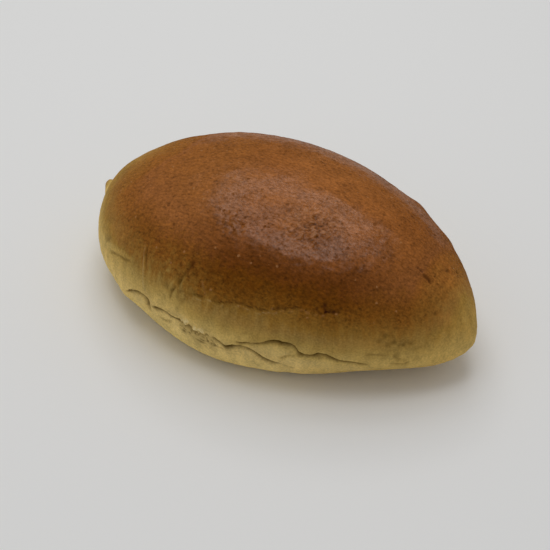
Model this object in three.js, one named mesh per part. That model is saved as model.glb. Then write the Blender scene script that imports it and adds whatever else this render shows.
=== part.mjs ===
// Milk bread roll: a soft bun shaped from one piece of dough and baked as one body. A domed crown
// runs between two drawn-out tips, the long sides roll under to a flat foot, and the tucks where
// the dough was folded shut show low on both sides.
// Millimetres, +Z up. +X points along the roll to its sharper tip, and -Y is its front. The origin
// is on the floor, under the middle of the roll.

import * as THREE from "three";
import { mergeVertices } from "three/addons/utils/BufferGeometryUtils.js";

const { lerp, smoothstep } = THREE.MathUtils;

// Driving dimensions of the plain roll
const rollLength = 150; // from tip to tip, without the nub
const rollWidth = 92;
const rollHeight = 56;
const bellyHeight = 18.5; // height of the widest line, halfway along
const bellyShift = -6; // how far the widest place lies from the middle, along X
const sharpTip = { height: 14.8, taper: 1.33 }; // the tip at +X
const bluntTip = { height: 14, taper: 1.21 }; // the tip at -X
const tipRounding = 0.15; // how far from the tips, as a sine, their taper is rounded off
const tipBend = 3.8; // power that keeps the belly line level until close to the tips
const crownPower = 2.28; // superellipse power of the crown: 2 is an ellipse, more is fuller
const underPower = 1.9; // superellipse power of the side that rolls under
const foot = { length: 80, width: 69, shift: -9, taper: 1.1 }; // the flat that it was baked on

// The end of the dough, pinched into a small nub on the blunt tip
const nub = { at: [-74.5, 1, 20], pull: [-6, 3.8, 2], reach: 3.6 };

// Tucks run in +X through [x, z] points on one side. The dough above a tuck hangs over it as a
// ledge, and the dough below comes out from under it.
const front = -1;
const back = 1;
const tucks = [
  {
    side: front,
    depth: 2.2,
    ledge: 1.1,
    run: [[-27, 16], [-19, 19.6], [-8, 17], [3, 15], [21, 22.3], [29.5, 17.3], [37, 17.9], [49, 14.8]],
  },
  { side: front, depth: 1.5, ledge: 0.5, run: [[5, 15.5], [11.5, 15.5], [18, 12], [26, 9]] },
  { side: front, depth: 1.9, ledge: 0.9, run: [[-44, 13], [-33, 18.3], [-27.5, 14.5]] },
  { side: back, depth: 2, ledge: 1, run: [[-45, 16], [-32, 20.5], [-17, 18], [-3, 21.5], [12, 17]] },
  { side: back, depth: 1.7, ledge: 0.8, run: [[5, 21.5], [20, 19.5], [34, 22], [50, 17]] },
];
const ledgeReach = 4; // how far above a tuck its ledge is fullest
const gapAbove = 2.2; // how quickly a tuck closes above its line
const gapBelow = 5; // how gently the dough comes out below it
const tuckFade = 0.14; // share of a tuck's run over which each end dies out

// Broad swells and hollows that make the roll uneven: place, reach and height
const swells = [
  { at: [-3, -40, 5], reach: 13, height: 0.7 },
  { at: [-33, -38, 8], reach: 12, height: -1.2 },
  { at: [48, -25, 6], reach: 15, height: -1.2 },
  { at: [68, -10, 10], reach: 8, height: 0.6 },
  { at: [-34, 36, 16], reach: 18, height: 0.8 },
  { at: [24, 38, 14], reach: 20, height: -0.8 },
  { at: [46, 26, 30], reach: 14, height: 0.5 },
  { at: [-30, 12, 54], reach: 26, height: 0.5 },
];
const reliefStart = 6; // relief grows from nothing at the foot to full at this height

// Mesh density
const columns = 132;
const sideColumns = 0.12; // share of columns drawn from the tips to the long sides
const footRings = 1;
const underRings = 14;
const crownRings = 24;
const crownSpacing = 1.5; // power that crowds the crown's rings towards the belly
const bellyRing = footRings + underRings;
const tuckSamples = 80;

const crust = new THREE.MeshStandardMaterial({ color: 0x7d4d24, roughness: 0.5, metalness: 0 });

// A power that keeps the sign of a value from -1 to 1, with the turn at 0 rounded
function roundedPower(value, power) {
  return value * ((value ** 2 + tipRounding ** 2) / (1 + tipRounding ** 2)) ** ((power - 1) / 2);
}

// Quarter superellipse, from all out at t = 0 to all up at t = 1
function arch(t, power) {
  const angle = (t * Math.PI) / 2;
  return { out: Math.cos(angle) ** (2 / power), up: Math.sin(angle) ** (2 / power) };
}

// The roll's outline from above, the edge of its foot and the height of its belly at one angle
function sectionAt(angle) {
  const along = Math.cos(angle);
  const across = Math.sin(angle);
  const taper = lerp(bluntTip.taper, sharpTip.taper, (1 + along) / 2);
  const tip = along > 0 ? sharpTip : bluntTip;
  return {
    outline: new THREE.Vector2(
      (rollLength / 2) * along + bellyShift * across ** 2,
      (rollWidth / 2) * roundedPower(across, taper),
    ),
    footEdge: new THREE.Vector2(
      (foot.length / 2) * along + foot.shift,
      (foot.width / 2) * roundedPower(across, foot.taper),
    ),
    belly: lerp(bellyHeight, tip.height, Math.abs(along) ** tipBend),
  };
}

// A point of the plain roll: ring 0 is the middle of the foot and the last ring the top
function surfacePoint(angle, ring) {
  if (ring === 0) return new THREE.Vector3(foot.shift, 0, 0);
  const { outline, footEdge, belly } = sectionAt(angle);
  if (ring <= bellyRing) {
    const { out, up } = arch((bellyRing - ring) / underRings, underPower);
    const spot = footEdge.lerp(outline, out);
    return new THREE.Vector3(spot.x, spot.y, belly * (1 - up));
  }
  const { out, up } = arch(((ring - bellyRing) / crownRings) ** crownSpacing, crownPower);
  return new THREE.Vector3(outline.x * out, outline.y * out, lerp(belly, rollHeight, up));
}

for (const tuck of tucks) {
  const curve = new THREE.SplineCurve(tuck.run.map(([x, z]) => new THREE.Vector2(x, z)));
  tuck.samples = curve.getPoints(tuckSamples);
}

// How far a tuck lifts or sinks the surface at a point
function tuckRelief(tuck, point) {
  if (point.y * tuck.side < 0) return 0;
  const spot = new THREE.Vector2(point.x, point.z);
  let nearest = 0;
  tuck.samples.forEach((sample, i) => {
    if (sample.distanceToSquared(spot) < tuck.samples[nearest].distanceToSquared(spot)) nearest = i;
  });
  const before = tuck.samples[Math.max(nearest - 1, 0)];
  const after = tuck.samples[Math.min(nearest + 1, tuckSamples)];
  const direction = after.clone().sub(before).normalize();
  const above = direction.cross(spot.clone().sub(tuck.samples[nearest]));
  const share = nearest / tuckSamples;
  const fade = smoothstep(share, 0, tuckFade) * smoothstep(1 - share, 0, tuckFade);
  const distance = tuck.samples[nearest].distanceTo(spot) * Math.sign(above);
  const ledge = tuck.ledge * Math.exp(-(((distance - ledgeReach) / ledgeReach) ** 2));
  const gap = tuck.depth * Math.exp(-((distance / (distance > 0 ? gapAbove : gapBelow)) ** 2));
  return fade * (ledge - gap);
}

function falloff(point, at, reach) {
  return Math.exp(-point.distanceToSquared(new THREE.Vector3(...at)) / reach ** 2);
}

function relief(point) {
  let height = 0;
  for (const tuck of tucks) height += tuckRelief(tuck, point);
  for (const swell of swells) height += swell.height * falloff(point, swell.at, swell.reach);
  return height * smoothstep(point.z, 0, reliefStart);
}

// A ball's rings and columns laid out as the plain roll, with nothing double at its seam and poles
function plainRoll() {
  const rings = bellyRing + crownRings;
  const ball = new THREE.SphereGeometry(1, columns, rings);
  const { position, uv } = ball.attributes;
  for (let i = 0; i < position.count; i++) {
    const even = 2 * Math.PI * uv.getX(i) + Math.PI;
    const point = surfacePoint(even + sideColumns * Math.sin(2 * even), Math.round(uv.getY(i) * rings));
    position.setXYZ(i, point.x, point.y, point.z);
  }
  ball.deleteAttribute("normal");
  ball.deleteAttribute("uv");
  const skin = mergeVertices(ball);
  skin.computeVertexNormals();
  return skin;
}

// The plain roll with its relief and nub, standing on the floor with its box centred on the origin
function rollGeometry() {
  const skin = plainRoll();
  const { position, normal } = skin.attributes;
  const point = new THREE.Vector3();
  const outward = new THREE.Vector3();
  for (let i = 0; i < position.count; i++) {
    point.fromBufferAttribute(position, i);
    outward.fromBufferAttribute(normal, i);
    const pull = new THREE.Vector3(...nub.pull).multiplyScalar(falloff(point, nub.at, nub.reach));
    point.addScaledVector(outward, relief(point)).add(pull);
    position.setXYZ(i, point.x, point.y, point.z);
  }
  skin.computeBoundingBox();
  const { min } = skin.boundingBox;
  const middle = skin.boundingBox.getCenter(new THREE.Vector3());
  skin.translate(-middle.x, -middle.y, -min.z);
  skin.computeVertexNormals();
  return skin;
}

const roll = new THREE.Mesh(rollGeometry(), crust);
roll.name = "roll";

const breadRoll = new THREE.Group();
breadRoll.add(roll);

export default breadRoll;
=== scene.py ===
# Milk bread roll: the baked crust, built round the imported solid
# Metres, +Z up, +X towards the sharper tip, -Y is the front
import math

import bmesh
import bpy
import numpy as np
from mathutils import Euler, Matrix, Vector, noise


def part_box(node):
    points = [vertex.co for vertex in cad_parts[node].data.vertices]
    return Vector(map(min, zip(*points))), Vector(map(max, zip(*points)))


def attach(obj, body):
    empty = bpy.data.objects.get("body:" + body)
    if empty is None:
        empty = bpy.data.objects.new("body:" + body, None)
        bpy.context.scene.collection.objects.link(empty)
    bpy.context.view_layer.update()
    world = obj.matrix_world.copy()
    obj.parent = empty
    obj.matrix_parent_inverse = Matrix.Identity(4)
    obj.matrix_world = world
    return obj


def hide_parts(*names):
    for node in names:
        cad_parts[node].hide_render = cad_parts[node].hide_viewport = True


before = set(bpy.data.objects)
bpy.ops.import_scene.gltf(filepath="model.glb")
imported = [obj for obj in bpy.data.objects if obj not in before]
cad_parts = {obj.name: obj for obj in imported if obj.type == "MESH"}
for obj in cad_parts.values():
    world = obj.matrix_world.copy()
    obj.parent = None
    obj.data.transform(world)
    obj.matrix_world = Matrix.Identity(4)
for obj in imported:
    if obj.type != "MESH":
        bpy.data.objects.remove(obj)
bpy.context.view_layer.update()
mm = 0.001


# Small helpers for working on one object at a time
def pickOnly(obj):
    bpy.ops.object.select_all(action="DESELECT")
    obj.select_set(True)
    bpy.context.view_layer.objects.active = obj


def applyModifier(obj, kind, **settings):
    pickOnly(obj)
    modifier = obj.modifiers.new(kind.lower(), kind)
    for name, value in settings.items():
        setattr(modifier, name, value)
    bpy.ops.object.modifier_apply(modifier=modifier.name)


# The roll's body
rollMesh = {
    "name": "bread_roll",
    "parts": ((4, 34), (4, 20), (4, 13)),  # two rounds of cuts along X, Y and Z of the starting block
    "mergeReach": 0.01,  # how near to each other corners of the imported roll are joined, in mm
    "formLevels": 2,  # smoothing of the copy that the crust is wrapped round
    "relaxRounds": 3,
    "relaxFactor": 0.5,
    "relaxSteps": 10,
    "fineReach": (3, 1.2),  # how near to a fold the mesh is halved once and twice, in mm
    "fineShare": 0.3,  # strength of a place's bell above which the mesh is halved there
    "pitReach": 3,  # reach of that bell about a small pit, in times the pit's own
    "smallPit": 2,  # reach below which a pit needs the finer mesh, in mm
}


def doughForm():
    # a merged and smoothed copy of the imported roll, only to wrap the crust round
    pickOnly(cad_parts["roll"])
    bpy.ops.object.duplicate()
    form = bpy.context.object
    bpy.ops.object.mode_set(mode="EDIT")
    bpy.ops.mesh.select_all(action="SELECT")
    bpy.ops.mesh.remove_doubles(threshold=rollMesh["mergeReach"] * mm)
    bpy.ops.mesh.tris_convert_to_quads()
    bpy.ops.object.mode_set(mode="OBJECT")
    levels = rollMesh["formLevels"]
    applyModifier(form, "SUBSURF", levels=levels, render_levels=levels)
    return form


def splitAlong(axis, parts):
    # cuts each edge that runs mostly along one axis into equal parts
    mesh = bmesh.from_edit_mesh(bpy.context.object.data)
    for edge in mesh.edges:
        span = edge.verts[1].co - edge.verts[0].co
        edge.select_set(abs(span[axis]) > 0.9 * span.length)
    bmesh.update_edit_mesh(bpy.context.object.data)
    bpy.ops.mesh.subdivide(number_cuts=parts - 1)


def wrappedRoll(form):
    low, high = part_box("roll")
    bpy.ops.object.select_all(action="DESELECT")
    bpy.ops.mesh.primitive_cube_add(size=2)
    roll = bpy.context.object
    roll.name = rollMesh["name"]
    bpy.ops.object.mode_set(mode="EDIT")
    bpy.ops.mesh.select_mode(type="EDGE")
    for axis, rounds in enumerate(rollMesh["parts"]):
        for parts in rounds:
            splitAlong(axis, parts)
    bpy.ops.object.mode_set(mode="OBJECT")
    applyModifier(roll, "CAST", cast_type="SPHERE", factor=1, size=1, use_radius_as_size=False)
    bpy.ops.object.mode_set(mode="EDIT")
    bpy.ops.mesh.select_all(action="SELECT")
    bpy.ops.transform.resize(value=(high - low) / 2)
    bpy.ops.transform.translate(value=(high + low) / 2)
    bpy.ops.object.mode_set(mode="OBJECT")
    for _ in range(rollMesh["relaxRounds"]):
        applyModifier(roll, "SHRINKWRAP", target=form, wrap_method="NEAREST_SURFACEPOINT")
        applyModifier(roll, "SMOOTH", factor=rollMesh["relaxFactor"], iterations=rollMesh["relaxSteps"])
    applyModifier(roll, "SHRINKWRAP", target=form, wrap_method="NEAREST_SURFACEPOINT")
    bpy.data.objects.remove(form)
    return roll


def refineNear(roll, reach, lines, places):
    # halves the faces that lie near a fold or about a place
    centres = np.array([face.center for face in roll.data.polygons]) / mm
    chosen = np.zeros(len(centres), bool)
    for line in lines:
        chosen[besideRun(centres, line, reach)[0]] = True
    for place, wide in places:
        chosen |= bellAt(centres, place, wide) > rollMesh["fineShare"]
    pickOnly(roll)
    bpy.ops.object.mode_set(mode="EDIT")
    bpy.ops.mesh.select_mode(type="FACE")
    bpy.ops.mesh.select_all(action="DESELECT")
    mesh = bmesh.from_edit_mesh(roll.data)
    mesh.faces.ensure_lookup_table()
    for index in np.nonzero(chosen)[0]:
        mesh.faces[index].select_set(True)
    bmesh.update_edit_mesh(roll.data)
    bpy.ops.mesh.subdivide(number_cuts=1, ngon=False)
    bpy.ops.object.mode_set(mode="OBJECT")


# Curves and noise for many points at once, all in mm
def smoothStep(values, low, high):
    t = np.clip((values - low) / (high - low), 0, 1)
    return t * t * (3 - 2 * t)


def fadeEnds(passed, share):
    return smoothStep(passed, 0, share) * smoothStep(1 - passed, 0, share)


def bell(values, reach):
    return np.exp(-(values / reach) ** 2)


def bellAt(points, place, reach):
    return np.exp(-((points - place) ** 2).sum(1) / reach ** 2)


def softLeast(first, second, blur=1.5):
    # the smaller of two heights, rounded where they meet
    return -blur * np.logaddexp(-first / blur, -second / blur)


def ruffle(points, size, seed=0.0):
    # smooth noise from about -1 to 1, with swellings of this size
    return np.array([noise.noise(Vector(p) / size + Vector((seed, 0, 0))) for p in points])


def smoothRun(points, rounding, perSpan=12):
    # a line through the points, straight from one to the next at 0 and fully rounded at 1
    spots = np.array([points[0], *points, points[-1]], float)
    t = np.linspace(0, 1, perSpan, endpoint=False)[:, None]
    run = []
    for a, b, c, d in zip(spots, spots[1:], spots[2:], spots[3:]):
        rounded = b + 0.5 * t * (c - a + t * (2 * a - 5 * b + 4 * c - d + t * (3 * b - a - 3 * c + d)))
        run.append(rounding * rounded + (1 - rounding) * (b + t * (c - b)))
    return np.vstack([*run, spots[-1]])


def besideRun(points, line, reach):
    # the points near a line's run, how far each lies above it, and the share of the run passed there
    run = smoothRun(line["run"], line.get("rounding", usualRounding))
    low = run.min(0) - reach
    high = run.max(0) + reach
    flat = points[:, [0, 2]]
    near = np.nonzero((points[:, 1] * line["side"] > 0) & (flat > low).all(1) & (flat < high).all(1))[0]
    start = run[:-1]
    span = run[1:] - start
    share = ((flat[near, None] - start) * span).sum(2) / (span ** 2).sum(1)
    offset = flat[near, None] - start - np.clip(share, 0, 1)[..., None] * span
    distance = np.linalg.norm(offset, axis=2)
    best = distance.argmin(1)
    rows = np.arange(len(near))
    across = span[best, 0] * offset[rows, best, 1] - span[best, 1] * offset[rows, best, 0]
    above = distance[rows, best] * np.sign(across)
    passed = (best + np.clip(share[rows, best], 0, 1)) / len(span)
    keep = distance[rows, best] < reach
    return near[keep], above[keep], passed[keep]


# Relief: a run goes through [x, z] places in mm on one side of the roll
front = -1
back = 1
usualRounding = 0.4
solidTucks = (  # the solid's own broad tucks: depth, height of the ledge above, run
    {"side": front, "depth": 2.2, "ledge": 1.1, "rounding": 1,
     "run": ((-27, 16), (-19, 19.6), (-8, 17), (3, 15), (21, 22.3), (29.5, 17.3), (37, 17.9),
             (49, 14.8))},
    {"side": front, "depth": 1.5, "ledge": 0.5, "rounding": 1,
     "run": ((5, 15.5), (11.5, 15.5), (18, 12), (26, 9))},
    {"side": front, "depth": 1.9, "ledge": 0.9, "rounding": 1,
     "run": ((-44, 13), (-33, 18.3), (-27.5, 14.5))},
    {"side": back, "depth": 2, "ledge": 1, "rounding": 1,
     "run": ((-45, 16), (-32, 20.5), (-17, 18), (-3, 21.5), (12, 17))},
    {"side": back, "depth": 1.7, "ledge": 0.8, "rounding": 1,
     "run": ((5, 21.5), (20, 19.5), (34, 22), (50, 17))},
)
easing = {  # how those are smoothed away before the finer folds are laid
    "share": 0.8,
    "reach": 14,
    "ledgeAt": 4,  # how far above the run the middle of the ledge lies, and its reach
    "above": 2.2,  # how far the tuck opens above and below its run
    "below": 5,
    "ends": 0.14,
}


def easedTucks(points):
    # how far points move outwards where the solid's tucks are smoothed away
    lift = np.zeros(len(points))
    for tuck in solidTucks:
        near, above, passed = besideRun(points, tuck, easing["reach"])
        ledge = tuck["ledge"] * bell(above - easing["ledgeAt"], easing["ledgeAt"])
        sunk = tuck["depth"] * bell(above, np.where(above > 0, easing["above"], easing["below"]))
        lift[near] += easing["share"] * fadeEnds(passed, easing["ends"]) * (sunk - ledge)
    return lift


tucks = (  # folds as they show: height of the lip, depth of the cut, torn between two shares of the run
    {"side": front, "lip": 0.2, "cut": 0.9, "torn": (0.25, 0.54), "ends": 0.04,
     "run": ((-23.5, 18.9), (-22.4, 19.6), (-20.5, 20.3), (-18.7, 20.3), (-17, 19.7), (-15.2, 19.1),
             (-13.2, 18.8), (-10.5, 18.8), (-8.3, 18), (-5.8, 17.4), (-3.3, 16.8), (-0.7, 16.9),
             (2.4, 17.4), (5.2, 17.4), (7, 17.1), (9.7, 18.2), (12.6, 18.5), (14.5, 17.6), (15.7, 16),
             (17.6, 14.6), (20.3, 13.2), (22.8, 12.6), (25.6, 12.5), (28, 11.8), (30, 10.8))},
    {"side": front, "lip": 0.2, "cut": 1.1, "torn": (0, 0), "ends": 0.03,
     "run": ((10.6, 19.6), (14.4, 20.6), (18.6, 21.7), (20.5, 22.5), (21.9, 23), (23.5, 23.3),
             (24.7, 22.9), (26.2, 22.2), (28.2, 21.9), (29.8, 21.4), (30.6, 20.2), (31.7, 19.2),
             (34.2, 19.2), (36.2, 19.3), (38.1, 19.8), (40.2, 19.3), (41.6, 18.2), (43.4, 17),
             (45.6, 16.3), (48.6, 15.8), (53, 14.6))},
    {"side": front, "lip": 0.3, "cut": 1.1, "torn": (0, 0), "ends": 0.16,
     "run": ((-39.5, 14.5), (-38.2, 15.9), (-36, 18), (-33.2, 19.4), (-31.1, 19.8), (-29.2, 19.4),
             (-27.8, 17.8), (-26.8, 16), (-26.5, 14), (-27.2, 11.8))},
    {"side": back, "lip": 0.3, "cut": 1.1, "torn": (0.1, 0.5), "ends": 0.1,
     "run": ((-42.7, 16), (-36, 19), (-29.7, 20.5), (-14.7, 18), (-7, 20.5), (-0.7, 21.5), (7, 19),
             (14.3, 17))},
    {"side": back, "lip": 0.2, "cut": 1.1, "torn": (0, 0), "ends": 0.1,
     "run": ((7.3, 21.5), (15, 19), (22.3, 19.5), (30, 22.5), (36.3, 22), (44, 18.5), (52.3, 17))},
)
fold = {  # what they have in common
    "reach": 12,
    "broad": 4,  # sizes of the dough's unevenness
    "coarse": 1.7,
    "fine": 0.8,
    "broadStray": 0.2,  # how far each of them bends the line
    "coarseStray": 0.15,
    "fineStray": 0.05,
    "tornFade": 0.06,  # share of the run over which a tear starts and stops
    "tornCoarseStray": 0.4,  # how much further the line is bent where it is torn
    "tornFineStray": 0.2,
    "stepHalf": 0.2,  # half the height of the step between the lip and the cut
    "lipReach": 1.6,
    "tornLip": 0.2,  # how much higher a torn lip stands, and its lumps
    "lipLumps": 0.5,
    "cutAbove": 0.25,  # how quickly the cut closes above and below its line
    "cutBelow": 0.95,
    "cutBroad": 0.6,  # how much the broad unevenness widens and deepens it
    "deepBroad": 0.5,
    "tornFill": 0.5,  # share of the cut that a tear fills
    "hollow": (-2.8, 3),  # middle and reach of the porous dough below a torn lip
    "hollowDepth": 0.1,
    "hollowLumps": 0.3,
    "poreCoarse": 0.5,  # how much of the coarse unevenness the pores follow, beside the fine one
    "poreEdge": (0.1, 0.4),  # unevenness at which a pore starts and is full
    "poreDepth": 0.5,
    # painted shade: how dark the cut, the hollow below a torn lip and its pores are made
    "cutShade": 1.2,
    "tornPale": 0.4,  # share of the cut's darkness that a tear takes away
    "hollowShade": 0.3,
    "poreShade": 0.6,
    "crumbs": (1.2, 1.5),  # middle and reach of the pale crumbs above a torn lip
    "crumbEdge": (-0.2, 0.4),  # unevenness at which a crumb starts and is full
    "fresh": (-5, 2.5),  # middle and reach of the paler dough below a whole lip
    "freshPale": 0.15,
}


# Each kind of relief gives how far points move outwards, and how dark (above 0) or pale they are there; the
# darkness is mostly painted shade in cuts, creases, pits and dents
def tuckRelief(points):
    lift = np.zeros(len(points))
    shadeAndMarks = np.zeros(len(points))
    for tuck in tucks:
        near, above, passed = besideRun(points, tuck, fold["reach"])
        ends = fadeEnds(passed, tuck["ends"])
        first, last = tuck["torn"]
        torn = smoothStep(passed, first, first + fold["tornFade"])
        torn = torn * (1 - smoothStep(passed, last - fold["tornFade"], last))
        broad = ruffle(points[near], fold["broad"], seed=8)
        coarse = ruffle(points[near], fold["coarse"])
        fine = ruffle(points[near], fold["fine"], seed=5)
        # the line wavers, and more so where it is torn
        above = above + fold["broadStray"] * broad
        above = above + (fold["coarseStray"] + fold["tornCoarseStray"] * torn) * coarse
        above = above + (fold["fineStray"] + fold["tornFineStray"] * torn) * fine
        over = smoothStep(above, -fold["stepHalf"], fold["stepHalf"])
        lip = over * (tuck["lip"] + torn * (fold["tornLip"] + fold["lipLumps"] * (coarse + fine)))
        lip = lip * np.exp(-np.abs(above) / fold["lipReach"])
        below = fold["cutBelow"] * (1 + fold["cutBroad"] * broad)
        cut = bell(above, np.where(above > 0, fold["cutAbove"], below))
        deep = tuck["cut"] * (1 - fold["tornFill"] * torn) * (1 + fold["deepBroad"] * broad)
        middle, reach = fold["hollow"]
        hollow = torn * (1 - over) * bell(above - middle, reach)
        pores = hollow * smoothStep(fine + fold["poreCoarse"] * coarse, *fold["poreEdge"])
        sunk = hollow * (fold["hollowDepth"] - fold["hollowLumps"] * coarse) + fold["poreDepth"] * pores
        lift[near] += ends * (lip - deep * cut - sunk)

        # painted shade in the cut and in the porous hollow below a torn lip
        porousShade = fold["hollowShade"] * hollow + fold["poreShade"] * pores
        dark = np.maximum(fold["cutShade"] * cut * (1 - fold["tornPale"] * torn), porousShade)
        middle, reach = fold["crumbs"]
        crumbs = torn * over * bell(above - middle, reach) * smoothStep(fine + coarse, *fold["crumbEdge"])
        middle, reach = fold["fresh"]
        fresh = fold["freshPale"] * (1 - over) * (1 - torn) * bell(above - middle, reach)
        shadeAndMarks[near] = np.maximum(shadeAndMarks[near], ends * dark) - ends * np.maximum(crumbs, fresh)
    return lift, shadeAndMarks


wrinkles = (  # narrow creases, or ridges where deep is below 0
    {"side": front, "deep": 0.45, "wide": 0.45,
     "run": ((-49, 24.2), (-47.5, 25.3), (-44, 26.6), (-40, 28), (-33, 29.6))},
    {"side": front, "deep": 0.5, "wide": 0.6,
     "run": ((-8.6, 42), (-9.7, 39.6), (-11.6, 35.9), (-12.6, 33.3), (-13, 31))},
    {"side": front, "deep": 0.4, "wide": 0.45,
     "run": ((-13.4, 32), (-14.3, 30.7), (-15.6, 27.8), (-15.8, 26))},
    {"side": front, "deep": -0.3, "wide": 0.35,
     "run": ((-31, 39), (-30.3, 36.9), (-29.9, 34.8), (-29, 29.9), (-28.4, 24.1), (-26.7, 22.2),
             (-24.6, 19.8), (-23, 18.6))},
    {"side": front, "deep": 0.2, "wide": 0.5,
     "run": ((-29.6, 38), (-29, 34.8), (-28, 30))},
    {"side": front, "deep": 0.4, "wide": 0.5,
     "run": ((-21.5, 15.6), (-20.3, 14.8), (-18.1, 14.6), (-14.5, 16.6))},
    {"side": front, "deep": 0.5, "wide": 0.5,
     "run": ((1.6, 15.4), (3, 14.4), (5, 14), (6.6, 14.8), (7.6, 15.8))},
    {"side": front, "deep": 0.5, "wide": 0.45,
     "run": ((25, 15.3), (26.4, 16.3), (28, 17.1), (30.1, 17.7), (33.5, 18.6))},
    {"side": front, "deep": 0.4, "wide": 0.6,
     "run": ((51.5, 19.3), (53, 19.8), (55.7, 19.6), (58, 18.8))},
    {"side": front, "deep": 0.4, "wide": 0.5,
     "run": ((58, 15), (59.4, 14.7), (62, 14.3), (64.1, 15.7))},
    {"side": front, "deep": -0.15, "wide": 0.3,
     "run": ((-4.3, 37), (-3.6, 35.6), (-2.4, 34), (-1.8, 32.5))},
    {"side": back, "deep": 0.4, "wide": 0.5,
     "run": ((-30, 33), (-22, 31.6), (-12, 33), (-4, 32.2))},
    {"side": back, "deep": 0.45, "wide": 0.5,
     "run": ((20, 38), (18, 33), (19, 28), (17, 24))},
    {"side": back, "deep": 0.4, "wide": 0.5,
     "run": ((40, 30), (47, 28), (54, 27.5))},
)
wrinkling = {
    "reach": 5,
    "ends": 0.2,
    "waver": (2, 0.3),  # size of its wavering and how far it strays
    "breaks": (3, 0.5),  # length of its stronger and weaker stretches, and how much they differ
    "strength": 0.8,
    "swell": (2, 1.2, 0.5),  # dough pushed up on both sides: place and reach in widths, and share
    # painted shade along a crease; a ridge's paleness is the dough's own
    "dark": 0.55,
    "pale": 0.3,
}


def wrinkleRelief(points):
    lift = np.zeros(len(points))
    shadeAndMarks = np.zeros(len(points))
    for wrinkle in wrinkles:
        near, above, passed = besideRun(points, wrinkle, wrinkling["reach"])
        size, stray = wrinkling["waver"]
        above = above + stray * ruffle(points[near], size, seed=3)
        size, change = wrinkling["breaks"]
        strength = wrinkling["strength"] + change * ruffle(points[near], size, seed=7)
        broken = fadeEnds(passed, wrinkling["ends"]) * strength
        crease = bell(above, wrinkle["wide"])
        middle, reach, share = wrinkling["swell"]
        swell = share * bell(np.abs(above) / wrinkle["wide"] - middle, reach)
        lift[near] += wrinkle["deep"] * broken * (swell - crease)
        # a crease gets painted shade, a ridge its own paler colour
        shade = wrinkling["dark"] if wrinkle["deep"] > 0 else -wrinkling["pale"]
        shadeAndMarks[near] += shade * broken * crease
    return lift, shadeAndMarks


washEdges = (  # where the egg wash stopped: a broken line with a pale rim below, and a step in the browning
    {"side": front, "line": 0.35, "rim": 0.4, "deep": 0.15, "dark": 0.8, "step": 1.2,
     "run": ((-9.5, 31.3), (-6.8, 31.2), (-3.8, 31.7), (-0.2, 32.1), (2.7, 32), (5, 32.3), (8.3, 33.2),
             (11, 33.5), (13.4, 33.5), (15.8, 33.2), (18.9, 33.5), (23.3, 34.3), (27.8, 35.6),
             (31.1, 36.2), (34.1, 35.4), (36.6, 35.2), (43.8, 35.5), (48.2, 35.7))},
    {"side": front, "line": 0.3, "rim": 0.4, "deep": 0.05, "dark": 0.15, "step": 1.5,
     "run": ((-59, 24), (-54, 26), (-48, 28.4), (-42, 30.2), (-37, 31.2), (-33, 31.8))},
    {"side": back, "line": 0.35, "rim": 0.4, "deep": 0.15, "dark": 0.8, "step": 1.2,
     "run": ((-38, 31), (-30, 33), (-18, 31.5), (-6, 33), (4, 31.6), (16, 33.2), (28, 32))},
)
washing = {
    "reach": 10,
    "ends": 0.1,
    "waver": ((4, 0.6), (1.3, 0.5), (0.7, 0.2)),  # sizes of its wavering and how far it strays
    "lineSize": 2.5,  # length of the line's pieces, and the noise at which one starts and is full
    "lineEdge": (-0.35, 0.15),
    "rimSize": 1.2,  # the same of the pale rim
    "rimEdge": (-0.1, 0.3),
    "rimDrop": 0.9,  # how far below the line it lies
    "rimPale": 0.3,
    "stepReach": 4,
    "stepBlur": 0.6,
}


def washRelief(points):
    # also gives the step in the browning
    lift = np.zeros(len(points))
    shadeAndMarks = np.zeros(len(points))
    step = np.zeros(len(points))
    for wash in washEdges:
        near, above, passed = besideRun(points, wash, washing["reach"])
        spots = points[near]
        for size, stray in washing["waver"]:
            above = above + stray * ruffle(spots, size, seed=4)
        ends = fadeEnds(passed, washing["ends"])
        pieces = smoothStep(ruffle(spots, washing["lineSize"], seed=9), *washing["lineEdge"])
        line = ends * pieces * bell(above, wash["line"])
        pieces = smoothStep(ruffle(spots, washing["rimSize"], seed=12), *washing["rimEdge"])
        rim = ends * pieces * bell(above + washing["rimDrop"], wash["rim"])
        lift[near] += wash["deep"] * (rim - line)
        shadeAndMarks[near] += wash["dark"] * (line - washing["rimPale"] * rim)
        fade = ends * bell(above, washing["stepReach"])
        step[near] += wash["step"] * fade * np.tanh(above / washing["stepBlur"])
    return lift, shadeAndMarks, step


pits = (  # place on the crust, reach and depth, a swelling where the depth is below 0
    (58.1, -6.2, 43.8, 0.5, 0.25),
    (58.9, -6.3, 43.2, 0.6, 0.3),
    (59.6, -6.1, 42.9, 0.5, 0.25),
    (60.7, -6.7, 41.9, 0.6, 0.3),
    (61.4, -6.5, 41.5, 0.7, 0.4),
    (62.1, -6.4, 41, 0.7, 0.4),
    (62.7, -6.6, 40.4, 0.6, 0.4),
    (63.2, -6.8, 39.9, 0.5, 0.3),
    (65.4, 1.7, 40, 0.8, 0.4),
    (67, 5.8, 37.3, 0.8, 0.4),
    (67.6, -11.1, 31.8, 0.8, 0.4),
    (56.6, -24.8, 27.1, 1, 0.15),
    (58.5, -23.9, 24.3, 1, 0.15),
    (60.7, -22.4, 22.8, 0.9, 0.15),
    (63.5, -19.9, 23.5, 1, 0.12),
    (39.7, -31.9, 35.6, 1.2, 0.28),
    (37.4, -31.8, 37.3, 1, 0.2),
    (-5.7, -37.5, 42.5, 0.9, -0.5),
    (40, 28, 39, 4, -0.8),
    (55, 22, 35, 3.5, -0.5),
    (-12, 30, 46, 1, 0.4),
    (18, 33, 43, 0.9, 0.4),
)
pitShade = 1.5  # painted shade for each mm of depth
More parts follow.
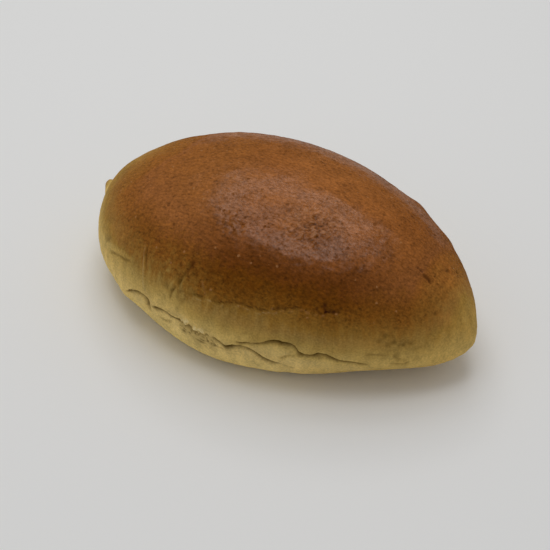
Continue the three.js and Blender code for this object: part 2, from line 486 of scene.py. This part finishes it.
crumples = (  # place, reach, size of the unevenness and its height, and how much painted shade darkens its dents
    ((59, -22, 22), 8, 2.2, 0.5, 1),
    ((-52, -30, 26), 7, 2.5, 0.25, 0.8),
    ((-14, -42, 28), 9, 2.2, 0.2, 0.8),
    ((38, -32, 36), 4, 1.6, 0.2, 1.6),
)
deepestDent = 0.5  # share of a crumple past which its dents get no more painted shade
blisters = {  # burst bubbles on the crown, with painted shade in them
    "places": (((22.5, -15, 53), 8, 1), ((-1, -25, 51.5), 5, 0.4)),  # place, reach and strength
    "sizes": ((1.4, 1, 11), (0.84, 0.4, 17)),  # large and small bubbles: size, share and seed of each
    "stir": 1.2,  # how far the bubbles are pushed out of their rows
    "stirSize": 2.2,
    "stirSeeds": (1, 6, 13),
    "edge": (0.1, 0.45),  # noise at which a bubble starts and is full
    "depth": 0.4,
    "swell": 0.5,  # height of the skin between them, as a share of the depth
    "dark": 0.55,
    "pale": 0.5,
}
dough = ((14, 0.25), (4, 0.1), (1.8, 0.08))  # general unevenness: sizes and heights


def blisterSpread(points):
    return np.max([share * bellAt(points, place, reach) for place, reach, share in blisters["places"]], 0)


def pittedRelief(points, spread):
    push = [ruffle(points, blisters["stirSize"], seed) for seed in blisters["stirSeeds"]]
    stirred = points + blisters["stir"] * np.column_stack(push)
    bubbles = np.zeros(len(points))
    for size, share, seed in blisters["sizes"]:
        bubbles += share * ruffle(stirred, size, seed)
    burst = spread * smoothStep(bubbles, *blisters["edge"])
    raised = spread * smoothStep(-bubbles, *blisters["edge"])
    lift = blisters["depth"] * (blisters["swell"] * raised - burst)
    # painted shade in the burst bubbles; the skin between them is paler
    shadeAndMarks = blisters["dark"] * burst - blisters["pale"] * raised
    for place, reach, size, height, dark in crumples:
        crumple = bellAt(points, place, reach) * ruffle(points, size, seed=reach)
        lift += height * crumple
        # painted shade in a crumple's dents
        shadeAndMarks += dark * np.clip(-crumple, 0, deepestDent)
    for x, y, z, reach, depth in pits:
        pit = depth * bellAt(points, (x, y, z), reach)
        lift -= pit
        # painted shade in a pit, deeper pits darker
        shadeAndMarks += pitShade * np.maximum(pit, 0)
    for order, (size, height) in enumerate(dough):
        lift += height * ruffle(points, size, seed=2 * order)
    return lift, shadeAndMarks


# Browning: how far each place lies above the edge of the browned crust
bakeEdge = (  # [x, z] places of that edge
    (-76, 37.5), (-57, 34.2), (-45, 33.4), (-32, 33.8), (-27.5, 33.2), (-16, 34.2), (-8, 32.2),
    (4, 30.8), (16, 30.2), (28, 29.8), (40, 28.4), (60, 26.6), (76, 27.2),
)
sideBake = {"palest": 30, "less": 18, "from": (15, 45)}  # the sides stay browner towards the sharp tip
endBake = {  # the browning fades out towards both tips
    "most": 6,
    "before": 8,  # how far before a fade the browning starts to be held down, and from how far above it
    "spare": 20,
    "slant": 0.6,  # how much later the blunt tip fades towards the front
    "sharp": (63, 77, 11),  # start and end of the fade along the roll, and how much is lost
    "blunt": (42, 62, 8),
}
nubBake = {"at": (-77, 3, 22), "reach": 4.5, "rise": 12}  # the nub on the blunt tip browned more
lightBake = {  # where the crust is baked lighter and the band of painted shade in the darker ramp is left out
    "middle": 22,
    "away": (16, 48),  # how far from there along the roll it starts and is full
    "lowFrom": (-48, -32),  # less so low on the sides, from here along the roll to there
    "lowTo": (64, 72),
    "lowRise": (7, 13),
    "lowShare": 0.6,
    "back": (-5, 25),  # lighter over the back too, growing from here across the roll to there
    "backShare": 0.7,
}
streaky = {"at": (-18, -42, 32), "reach": 20}  # where the wash ran down in streaks


def browning(points, step):
    along, across, height = points.T
    rise = height - np.interp(along, *zip(*bakeEdge))
    low = smoothStep(along, *lightBake["lowFrom"]) * (1 - smoothStep(along, *lightBake["lowTo"]))
    low = low * (1 - smoothStep(rise, *lightBake["lowRise"]))
    lighter = smoothStep(np.abs(along - lightBake["middle"]), *lightBake["away"])
    behind = lightBake["backShare"] * smoothStep(across, *lightBake["back"])
    lighter = np.maximum(lighter * (1 - lightBake["lowShare"] * low), behind)

    palest = sideBake["palest"] - sideBake["less"] * smoothStep(along, *sideBake["from"])
    rise = np.where(rise < 0, palest * np.tanh(rise / palest), rise) + step
    most = np.full(len(points), float(endBake["most"]))
    blunt = endBake["slant"] * np.minimum(across, 0) - along
    for tip, outward in (("sharp", along), ("blunt", blunt)):
        first, last, fade = endBake[tip]
        start = first - endBake["before"]
        most -= fade * smoothStep(outward, first, last)
        spare = endBake["spare"] * (1 - smoothStep(outward, start, first))
        rise = np.where(outward > start, softLeast(rise, most + spare), rise)
    rise += nubBake["rise"] * bellAt(points, nubBake["at"], nubBake["reach"])
    return rise, lighter


footTop = 2.5  # relief grows from nothing at the floor to full at this height


def meshArray(mesh, name):
    values = np.empty(len(mesh.vertices) * 3)
    mesh.vertices.foreach_get(name, values)
    return values.reshape(-1, 3)


def sculptRoll(roll):
    plain = meshArray(roll.data, "co") / mm
    normals = meshArray(roll.data, "normal")
    spread = blisterSpread(plain)
    tuckLift, tuckShadeAndMarks = tuckRelief(plain)
    wrinkleLift, wrinkleShadeAndMarks = wrinkleRelief(plain)
    washLift, washGap, step = washRelief(plain)
    pittedLift, pittedShadeAndMarks = pittedRelief(plain, spread)
    standing = smoothStep(plain[:, 2], 0, footTop)
    lift = easedTucks(plain) + tuckLift + wrinkleLift + washLift + pittedLift
    points = plain + normals * (lift * standing)[:, None]
    roll.data.vertices.foreach_set("co", (points * mm).ravel())
    roll.data.update()

    rise, lighter = browning(plain, step)
    layers = {
        "bakeRise": rise,
        "lightBake": lighter,
        "foldGap": tuckShadeAndMarks + wrinkleShadeAndMarks + washGap + pittedShadeAndMarks,
        "coarsePores": spread,
        "streaky": bellAt(plain, streaky["at"], streaky["reach"]),
    }
    for name, values in layers.items():
        layer = roll.data.attributes.new(name, "FLOAT", "POINT")
        layer.data.foreach_set("value", values)


roll = wrappedRoll(doughForm())
print("roll wrapped,", len(roll.data.polygons), "faces")
bubbled = [(place, reach) for place, reach, share in blisters["places"]]
pitted = [
    ((x, y, z), rollMesh["pitReach"] * reach)
    for x, y, z, reach, depth in pits
    if reach < rollMesh["smallPit"]
]
refineNear(roll, rollMesh["fineReach"][0], tucks + wrinkles + washEdges, bubbled + pitted)
refineNear(roll, rollMesh["fineReach"][1], tucks, pitted)
print("mesh refined,", len(roll.data.polygons), "faces")
sculptRoll(roll)
pickOnly(roll)
bpy.ops.object.shade_smooth()
print("folds sculpted")


# Materials
class Wire:
    # one socket of a node tree, so that shader maths can be written as plain sums
    def __init__(self, tree, socket=None):
        self.tree = tree
        self.socket = socket

    def node(self, kind, settings=None, inputs=None, output=0):
        made = self.tree.nodes.new(kind)
        for name, value in (settings or {}).items():
            if name == "stops":
                fillRamp(made.color_ramp, value)
            else:
                setattr(made, name, value)
        for name, value in (inputs or {}).items():
            if isinstance(value, Wire):
                self.tree.links.new(value.socket, made.inputs[name])
            else:
                made.inputs[name].default_value = value
        return Wire(self.tree, made.outputs[output] if made.outputs else None)

    def maths(self, operation, first, second=0.0):
        return self.node("ShaderNodeMath", {"operation": operation}, {0: first, 1: second})

    def __add__(self, other):
        return self.maths("ADD", self, other)

    __radd__ = __add__

    def __sub__(self, other):
        return self.maths("SUBTRACT", self, other)

    def __rsub__(self, other):
        return self.maths("SUBTRACT", other, self)

    def __mul__(self, other):
        return self.maths("MULTIPLY", self, other)

    __rmul__ = __mul__


def fillRamp(ramp, stops):
    while len(ramp.elements) < len(stops):
        ramp.elements.new(1.0)
    for element, (place, colour) in zip(ramp.elements, stops):
        element.position = place
        element.color = colour


def tint(code):
    # a linear colour from a hex code
    parts = [int(code[i:i + 2], 16) / 255 for i in (0, 2, 4)]
    return (*(p / 12.92 if p <= 0.04045 else ((p + 0.055) / 1.055) ** 2.4 for p in parts), 1.0)


def newMaterial(name):
    material = bpy.data.materials.new(name)
    material.use_nodes = True
    material.node_tree.nodes.clear()
    return material, Wire(material.node_tree)


def finishMaterial(shader, surface):
    shader.node("ShaderNodeOutputMaterial", None, {"Surface": surface})


def painted(shader, name):
    # a value that the sculpting left on the mesh
    return shader.node("ShaderNodeAttribute", {"attribute_name": name}, output="Fac")


def blend(shader, mask, first, second):
    # 6, 7 and 2 are the colour sockets of a Mix node
    return shader.node("ShaderNodeMix", {"data_type": "RGBA"}, {0: mask, 6: first, 7: second}, 2)


def between(shader, value, low, high):
    # rises smoothly from 0 to 1 as the value goes from low to high
    return shader.node("ShaderNodeMapRange", {"interpolation_type": "SMOOTHSTEP"},
                       {"Value": value, "From Min": low, "From Max": high})


def stretched(shader, spot, scale):
    return shader.node("ShaderNodeVectorMath", {"operation": "MULTIPLY"}, {0: spot, 1: scale})


def grain(shader, spot, size, detail=2.0):
    # noise round 0 with features of about this size in mm
    return shader.node("ShaderNodeTexNoise", None,
                       {"Vector": spot, "Scale": 1 / (size * mm), "Detail": detail}) - 0.5


def drawnGrain(shader, spot, size, stretch):
    # noise of more detail, drawn out along an axis where the stretch is below 1
    return grain(shader, stretched(shader, spot, stretch), size, detail=3)


speckle = {
    "chance": (0.5, 0.9),  # a cell's chance at which it has no dot and the widest one
    "ragged": 0.3,
    "raggedSize": 0.5,
    "rim": (0.04, -0.08),  # from outside a dot to inside it, in cells
}


def specks(shader, spot, size, widest):
    # uneven dots of several widths, at most one to a cell of this size in mm
    cells = {"Vector": spot, "Scale": 1 / (size * mm)}
    distance = shader.node("ShaderNodeTexVoronoi", None, cells, "Distance")
    chance = shader.node("ShaderNodeTexVoronoi", None, cells, "Color")
    reach = widest * between(shader, chance, *speckle["chance"])
    ragged = speckle["ragged"] * grain(shader, spot, speckle["raggedSize"])
    return between(shader, distance - reach + ragged, *speckle["rim"])


crust = {
    "name": "baked_crust",
    "stops": (  # height over the edge of the browning in mm, and colour there; the darkest band, 10 to 14 mm over the edge, is partly browner crust and partly painted shade of the steep front, and the palest colours low down are partly the dough's own and partly painted light bounced up from below
        (-24, "f0d587"),
        (-15, "e2c37b"),
        (-10, "ceaf66"),
        (-6, "b0904c"),
        (-3, "a17e40"),
        (0, "946d2d"),
        (3, "875d21"),
        (6, "7c4e14"),
        (10, "6e3f09"),
        (14, "6b3908"),
        (17, "754010"),
        (21, "8b501d"),
        (26, "9f602a"),
    ),
    "lightStops": (  # the same where it is baked lighter and the band of painted shade is left out; the palest colours are again partly painted bounced light
        (-24, "f3d787"),
        (-15, "e8c87c"),
        (-10, "d6b467"),
        (-6, "c09c53"),
        (-3, "ae863e"),
        (0, "a37638"),
        (3, "9d692d"),
        (7, "965d26"),
        (14, "985e2e"),
        (20, "985d27"),
        (26, "a26632"),
    ),
    "foldShadeTint": "4a3200",  # painted shade deep in a fold of the pale dough
    "paleTint": "f4e0aa",  # on its ridges and crumbs
    "poreShadeTint": "3c1a06",  # painted shade deep in the brown crust, in its folds and pores
    "crumbTint": "d09a70",  # on its raised bits
    "fleckTint": "b5804f",
    "foldShare": 0.9,  # how much of each tint is laid over the colour
    "paleShare": 0.6,
    "poreShare": 0.32,
    "fleckShare": 0.55,
    "streaks": (1.5, (1, 1, 0.2)),  # size in mm, and stretch of the pattern
    "creases": (0.9, (0.55, 1, 1)),
    "skin": (3.2, (1, 1, 0.35)),
    "blotchSize": 7,
    "patchSize": 22,
    "fineSize": 0.7,
    "pores": (2.2, 0.3),  # size of a dot's cell in mm, and widest dot in cells
    "flecks": (2.8, 0.2),
    "fleckStretch": (1, 1, 1.1),
    "streakFrom": (-9, 0),  # heights over the edge in mm where streaks, crown and glaze start and are full
    "crownFrom": (-1, 5),
    "glazeFrom": (10, 19),
    "streakRise": 5,  # how far each moves the browning, in mm
    "pouredRise": 14,  # and streaks more where the wash ran
    "blotchRise": 6,
    "patchRise": 4,
    "blotchMottle": 0.5,  # how much each lightens and darkens the colour
    "fineMottle": 0.8,
    "crownFine": 0.1,
    "creaseMottle": 1.3,
    "dullMottle": 0.2,
    "skinMottle": 0.65,
    "bump": 0.8,
    "bumpHeight": 0.5,
    "grainSize": 0.8,
    "grainBump": 0.8,  # how much each stands out
    "fleckBump": 0.3,
    "poreBump": 0.4,
    "roughness": 0.75,
    "specular": 0.05,
    "glaze": 0.27,
    "glazeRoughness": 0.22,
    "glazeIndex": 1.8,
    "glazeGrain": 0.6,
    "glazeBreaks": 3,  # how strongly creases and grain break it
    "glazeDull": 0.45,  # share of it that burst bubbles and pores take away
    "glazePores": 0.8,
}


def bakedRamp(shader, baked, stops):
    low = stops[0][0]
    high = stops[-1][0]
    places = [((place - low) / (high - low), tint(code)) for place, code in stops]
    return shader.node("ShaderNodeValToRGB", {"stops": places}, {"Fac": (baked - low) * (1 / (high - low))})


def crustMaterial():
    material, shader = newMaterial(crust["name"])
    spot = shader.node("ShaderNodeTexCoord", output="Object")
    rise = painted(shader, "bakeRise")
    shadeAndMarks = painted(shader, "foldGap")
    dull = painted(shader, "coarsePores")

    # how far the crust is baked, with streaks, blotches and patches
    streaks = drawnGrain(shader, spot, *crust["streaks"]) * between(shader, rise, *crust["streakFrom"])
    blotches = grain(shader, spot, crust["blotchSize"], detail=3)
    patches = grain(shader, spot, crust["patchSize"])
    baked = rise + (crust["streakRise"] + crust["pouredRise"] * painted(shader, "streaky")) * streaks
    baked = baked + crust["blotchRise"] * blotches + crust["patchRise"] * patches
    crown = between(shader, baked, *crust["crownFrom"])

    # colour of the baked dough, with its grain
    dark = bakedRamp(shader, baked, crust["stops"])
    light = bakedRamp(shader, baked, crust["lightStops"])
    # the darker ramp carries the band of painted shade, the lighter one leaves it out
    colour = blend(shader, painted(shader, "lightBake"), dark, light)
    creases = drawnGrain(shader, spot, *crust["creases"])
    skin = drawnGrain(shader, spot, *crust["skin"])
    fine = grain(shader, spot, crust["fineSize"])
    mottle = 1 + crust["blotchMottle"] * blotches + (crust["fineMottle"] + crust["crownFine"] * crown) * fine
    # burst bubbles darken the crown with painted shade
    mottle = mottle + crown * (crust["creaseMottle"] * creases - crust["dullMottle"] * dull)
    mottle = mottle + crust["skinMottle"] * (1 - crown) * skin
    colour = shader.node("ShaderNodeVectorMath", {"operation": "SCALE"}, {0: colour, "Scale": mottle})

    # pores and flecks of the crown, painted shade in pores and folds, and pale ridges
    pores = crown * specks(shader, spot, *crust["pores"])
    flecks = crown * specks(shader, stretched(shader, spot, crust["fleckStretch"]), *crust["flecks"])
    colour = blend(shader, crust["poreShare"] * pores, colour, tint(crust["poreShadeTint"]))
    colour = blend(shader, crust["fleckShare"] * flecks, colour, tint(crust["fleckTint"]))
    sunk = blend(shader, crown, tint(crust["foldShadeTint"]), tint(crust["poreShadeTint"]))
    raised = blend(shader, crown, tint(crust["paleTint"]), tint(crust["crumbTint"]))
    colour = blend(shader, crust["foldShare"] * shadeAndMarks, colour, sunk)
    colour = blend(shader, -crust["paleShare"] * shadeAndMarks, colour, raised)

    height = crust["grainBump"] * grain(shader, spot, crust["grainSize"]) + crown * creases
    height = height + crust["fleckBump"] * flecks - crust["poreBump"] * pores
    relief = shader.node("ShaderNodeBump", None, {
        "Strength": crust["bump"],
        "Distance": crust["bumpHeight"] * mm,
        "Height": height,
    })

    # the glaze is broken by creases, pores and burst bubbles
    glaze = between(shader, baked, *crust["glazeFrom"])
    glaze = glaze * (1 - crust["glazeDull"] * dull) * (1 - crust["glazePores"] * pores)
    breaks = crust["glazeBreaks"] * creases + crust["glazeBreaks"] * grain(shader, spot, crust["glazeGrain"])
    surface = shader.node("ShaderNodeBsdfPrincipled", None, {
        "Base Color": colour,
        "Roughness": crust["roughness"],
        "Specular IOR Level": crust["specular"],
        "Coat Weight": crust["glaze"] * glaze * (1 + breaks),
        "Coat Roughness": crust["glazeRoughness"],
        "Coat IOR": crust["glazeIndex"],
        "Normal": relief,
    })
    finishMaterial(shader, surface)
    return material


roll.data.materials.append(crustMaterial())

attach(roll, "root")
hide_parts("roll")
print("crust baked")


# Floor, light and camera
studio = {
    "floorSize": 4.0,
    "floorTint": "eeeeed",
    "floorRoughness": 0.6,
    "world": 0.44,
    "lamps": 10,  # in a ring over the roll, with one more in the middle
    "ringPlace": (-0.21, 0.245, 0.8),
    "ringSize": (0.24, 0.46),  # from its middle, across the view and along it
    "lampSize": 0.26,
    "lampPower": 0.31,
    "middlePower": 0.2,
    "azimuth": 31.1,  # the camera's place round the roll and above it, in degrees
    "elevation": 39.3,
    "distance": 0.6,
    "aim": (2.75 * mm, -6 * mm, 17.2 * mm),
    "lens": 111.3,
}


def layFloor():
    material, shader = newMaterial("pale_floor")
    surface = shader.node("ShaderNodeBsdfPrincipled", None, {
        "Base Color": tint(studio["floorTint"]),
        "Roughness": studio["floorRoughness"],
    })
    finishMaterial(shader, surface)
    bpy.ops.object.select_all(action="DESELECT")
    bpy.ops.mesh.primitive_plane_add(size=studio["floorSize"])
    floor = bpy.context.object
    floor.name = "floor"
    floor.data.materials.append(material)


def lightRoom(turn):
    world = bpy.data.worlds.new("soft_room")
    world.use_nodes = True
    background = world.node_tree.nodes["Background"]
    background.inputs["Color"].default_value = (1, 1, 1, 1)
    background.inputs["Strength"].default_value = studio["world"]
    world.cycles_visibility.glossy = False  # the room itself doesn't show in the glaze
    bpy.context.scene.world = world

    across, along = studio["ringSize"]
    lamps = [((0, 0, 0), studio["middlePower"])]
    for number in range(studio["lamps"]):
        angle = 2 * math.pi * number / studio["lamps"]
        lamps.append(((across * math.cos(angle), along * math.sin(angle), 0), studio["lampPower"]))
    for offset, power in lamps:
        place = Vector(offset)
        place.rotate(Euler((0, 0, turn)))
        bpy.ops.object.light_add(type="AREA", location=Vector(studio["ringPlace"]) + place)
        lamp = bpy.context.object
        lamp.name = "ring_lamp"
        lamp.data.shape = "DISK"
        lamp.data.size = studio["lampSize"]
        lamp.data.energy = power


def setCamera(turn):
    rise = math.radians(studio["elevation"])
    away = Vector((math.sin(turn) * math.cos(rise), -math.cos(turn) * math.cos(rise), math.sin(rise)))
    bpy.ops.object.camera_add(location=Vector(studio["aim"]) + studio["distance"] * away)
    camera = bpy.context.object
    camera.rotation_euler = away.to_track_quat("Z", "Y").to_euler()
    camera.data.lens = studio["lens"]
    bpy.context.scene.camera = camera
    bpy.context.scene.view_settings.view_transform = "Standard"


layFloor()
lightRoom(math.radians(studio["azimuth"]))
setCamera(math.radians(studio["azimuth"]))
print("studio built")
